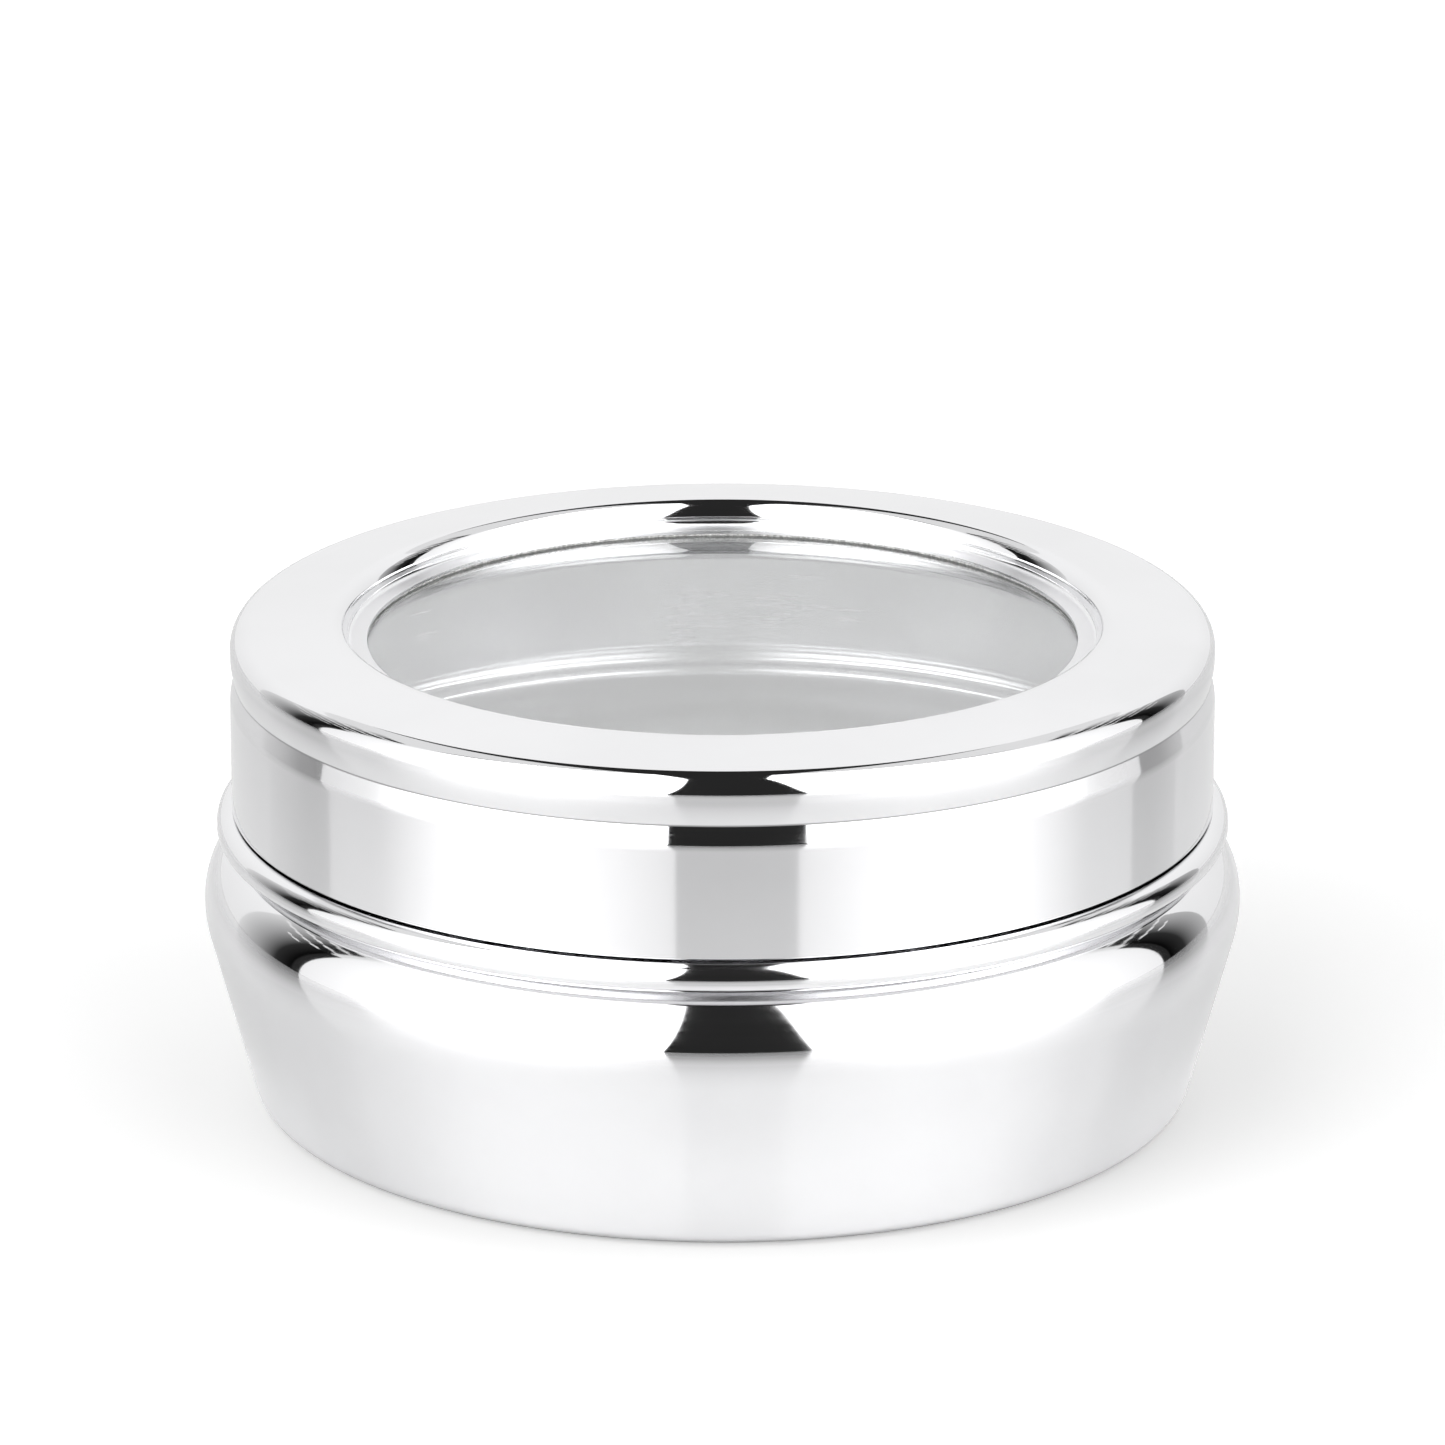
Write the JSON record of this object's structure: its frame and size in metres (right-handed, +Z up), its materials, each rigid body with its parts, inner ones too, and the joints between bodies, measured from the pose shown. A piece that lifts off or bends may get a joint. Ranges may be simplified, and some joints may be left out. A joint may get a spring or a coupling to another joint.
{
  "type": "spice box",
  "caption": "Round belly-shaped polished steel spice box with a see-through lift-off lid over small loose cups and a spoon.",
  "frame": {"origin": "centre of the foot ring, on the surface the box stands on", "axes": "+Z up the axis that the box and its lid are turned about; +X towards the spoon's handle"},
  "size_m": [0.2, 0.2, 0.0955],
  "materials": {
    "box_steel": "mirror-polished stainless steel",
    "lid_steel": "mirror-polished stainless steel",
    "cup_steel": "polished stainless steel",
    "spoon_steel": "polished stainless steel",
    "clear_pane": "clear, glossy, very slightly hazy",
    "seal": "translucent matt silicone"
  },
  "bodies": {
    "box": {"box_body": "box_steel"},
    "lid": {"lid_frame": "lid_steel", "lid_window": "clear_pane", "window_seal": "seal", "window_retainer": "lid_steel"},
    "cup_centre": {"cup_centre": "cup_steel"},
    "cup_1": {"cup_1": "cup_steel"},
    "cup_2": {"cup_2": "cup_steel"},
    "cup_3": {"cup_3": "cup_steel"},
    "cup_4": {"cup_4": "cup_steel"},
    "cup_5": {"cup_5": "cup_steel"},
    "cup_6": {"cup_6": "cup_steel"},
    "spoon": {"spoon": "spoon_steel"}
  },
  "joints": [
    {"name": "lid_lift", "type": "slide", "parent": "box", "child": "lid", "axis": [0, 0, 1], "range_m": [0, 0.12]},
    {"name": "cup_centre_lift", "type": "slide", "parent": "box", "child": "cup_centre", "axis": [0, 0, 1], "range_m": [0, 0.034]},
    {"name": "cup_1_lift", "type": "slide", "parent": "box", "child": "cup_1", "axis": [0, 0, 1], "range_m": [0, 0.034]},
    {"name": "cup_2_lift", "type": "slide", "parent": "box", "child": "cup_2", "axis": [0, 0, 1], "range_m": [0, 0.034]},
    {"name": "cup_3_lift", "type": "slide", "parent": "box", "child": "cup_3", "axis": [0, 0, 1], "range_m": [0, 0.034]},
    {"name": "cup_4_lift", "type": "slide", "parent": "box", "child": "cup_4", "axis": [0, 0, 1], "range_m": [0, 0.034]},
    {"name": "cup_5_lift", "type": "slide", "parent": "box", "child": "cup_5", "axis": [0, 0, 1], "range_m": [0, 0.034]},
    {"name": "cup_6_lift", "type": "slide", "parent": "box", "child": "cup_6", "axis": [0, 0, 1], "range_m": [0, 0.034]},
    {"name": "spoon_lift", "type": "slide", "parent": "cup_centre", "child": "spoon", "axis": [0, 0, 1], "range_m": [0, 0.03]}
  ]
}
